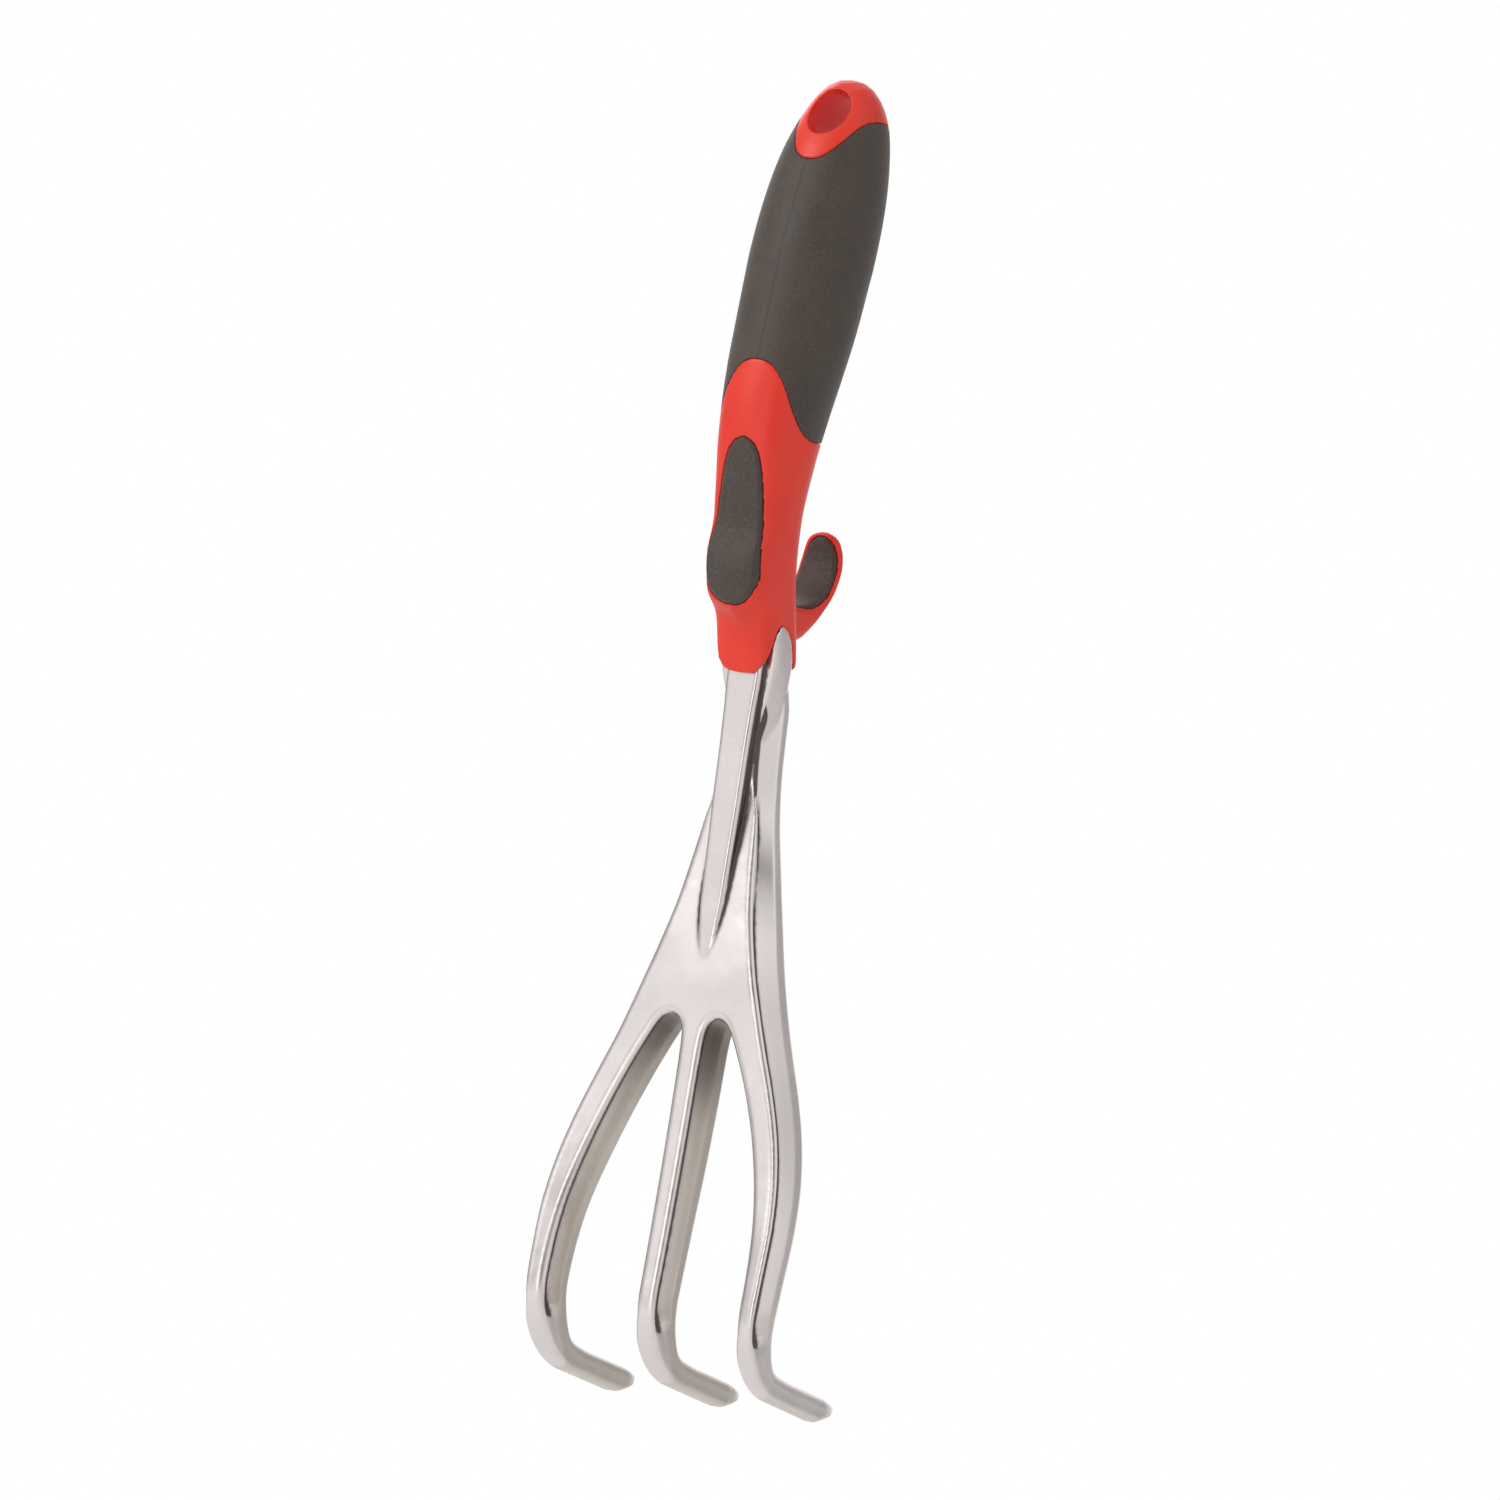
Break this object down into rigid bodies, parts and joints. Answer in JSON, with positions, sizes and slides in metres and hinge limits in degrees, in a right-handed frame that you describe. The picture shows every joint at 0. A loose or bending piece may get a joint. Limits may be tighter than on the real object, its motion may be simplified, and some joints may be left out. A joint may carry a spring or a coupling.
{
  "type": "hand cultivator",
  "caption": "Hand cultivator: a cast aluminium head with bent tines, and a moulded handle with a rubber grip, a thumb rest, a finger hook and a hang hole.",
  "frame": {"origin": "inside the hang hole, 1.2 mm above its centre, on the plane that halves the tool", "axes": "+Z along the tool from the tines to the handle's end, -Y the thumb side, +Y the side the tine tips and the finger hook point to, +X across the tines"},
  "size_m": [0.0736, 0.0694, 0.358],
  "materials": {
    "tine_head": "satin polished",
    "handle_core": "satin red",
    "grip_sleeve": "matte black",
    "thumb_pad": "grained matte black",
    "finger_pad": "grained matte black"
  },
  "bodies": {
    "root": {"tine_head": "tine_head", "handle_core": "handle_core", "grip_sleeve": "grip_sleeve", "thumb_pad": "thumb_pad", "finger_pad": "finger_pad"}
  },
  "joints": []
}
